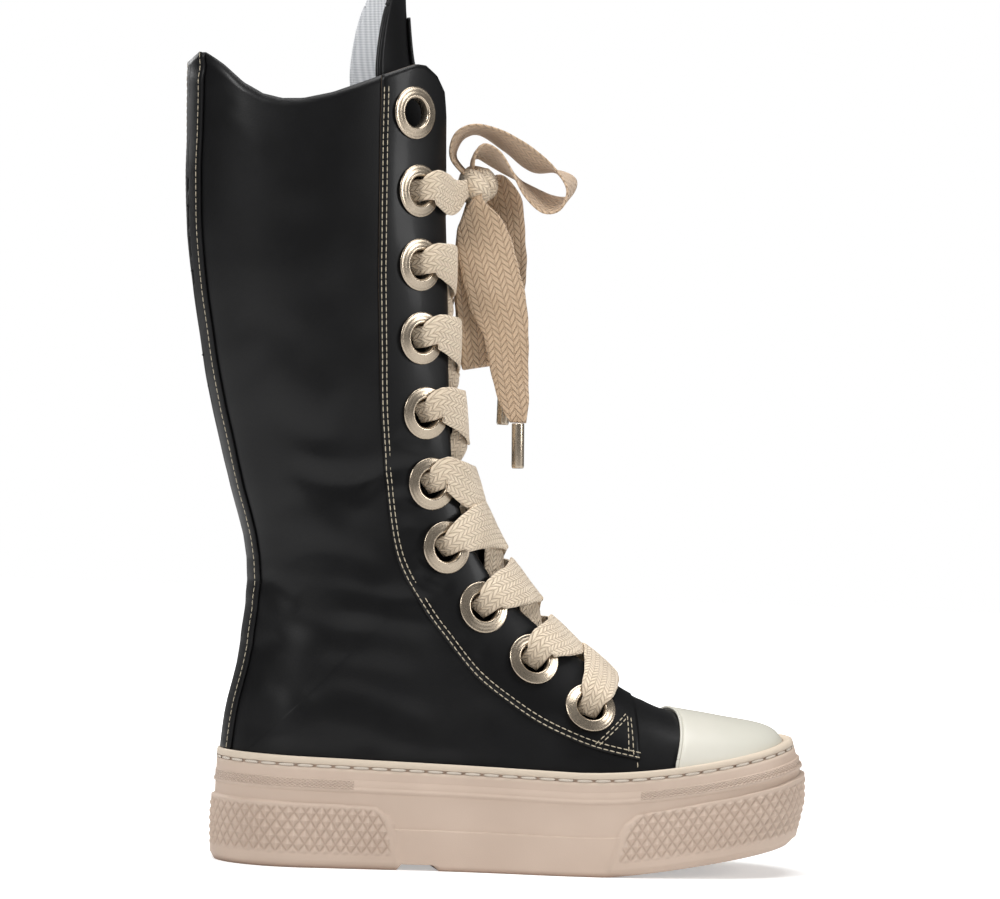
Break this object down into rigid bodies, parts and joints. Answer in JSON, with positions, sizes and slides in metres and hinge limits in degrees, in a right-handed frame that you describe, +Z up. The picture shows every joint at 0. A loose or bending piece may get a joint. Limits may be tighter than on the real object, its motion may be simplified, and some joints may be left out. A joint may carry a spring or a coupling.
{
  "type": "lace-up platform sneaker boot",
  "caption": "Knee-high leather lace-up sneaker with big metal eyelets, a rubber toe cap, wide flat laces and a thick stepped platform sole.",
  "frame": {"origin": "on the floor under the middle of the sole's length and width, on the flat tread", "axes": "+X from heel to toe, -Y the outer side, +Z up"},
  "size_m": [0.3343, 0.1135, 0.4523],
  "materials": {
    "leather": "smooth black leather with a soft gloss and light creases",
    "sole_rubber": "matte moulded rubber, pinkish beige",
    "cap_rubber": "smooth satin rubber, pale grey-green",
    "lining": "light grey knitted mesh",
    "eyelet_metal": "polished pale gold plating",
    "lace_cotton": "flat braided cotton, cream"
  },
  "bodies": {
    "root": {"outsole": "sole_rubber", "insole": "lining", "upper": "leather", "toe_cap": "cap_rubber", "back_stay": "leather", "tongue": "leather", "tongue_patch": "leather", "lace_crossings": "lace_cotton", "lace_knot": "lace_cotton", "lace_loop_upper": "lace_cotton", "lace_loop_rear": "lace_cotton", "lace_end_front": "lace_cotton", "lace_end_rear": "lace_cotton", "aglet_front": "eyelet_metal", "aglet_rear": "eyelet_metal", "eyelet_outer_1": "eyelet_metal", "eyelet_outer_2": "eyelet_metal", "eyelet_outer_3": "eyelet_metal", "eyelet_outer_4": "eyelet_metal", "eyelet_outer_5": "eyelet_metal", "eyelet_outer_6": "eyelet_metal", "eyelet_outer_7": "eyelet_metal", "eyelet_outer_8": "eyelet_metal", "eyelet_outer_9": "eyelet_metal", "eyelet_outer_10": "eyelet_metal", "eyelet_inner_1": "eyelet_metal", "eyelet_inner_2": "eyelet_metal", "eyelet_inner_3": "eyelet_metal", "eyelet_inner_4": "eyelet_metal", "eyelet_inner_5": "eyelet_metal", "eyelet_inner_6": "eyelet_metal", "eyelet_inner_7": "eyelet_metal", "eyelet_inner_8": "eyelet_metal", "eyelet_inner_9": "eyelet_metal", "eyelet_inner_10": "eyelet_metal"}
  },
  "joints": []
}
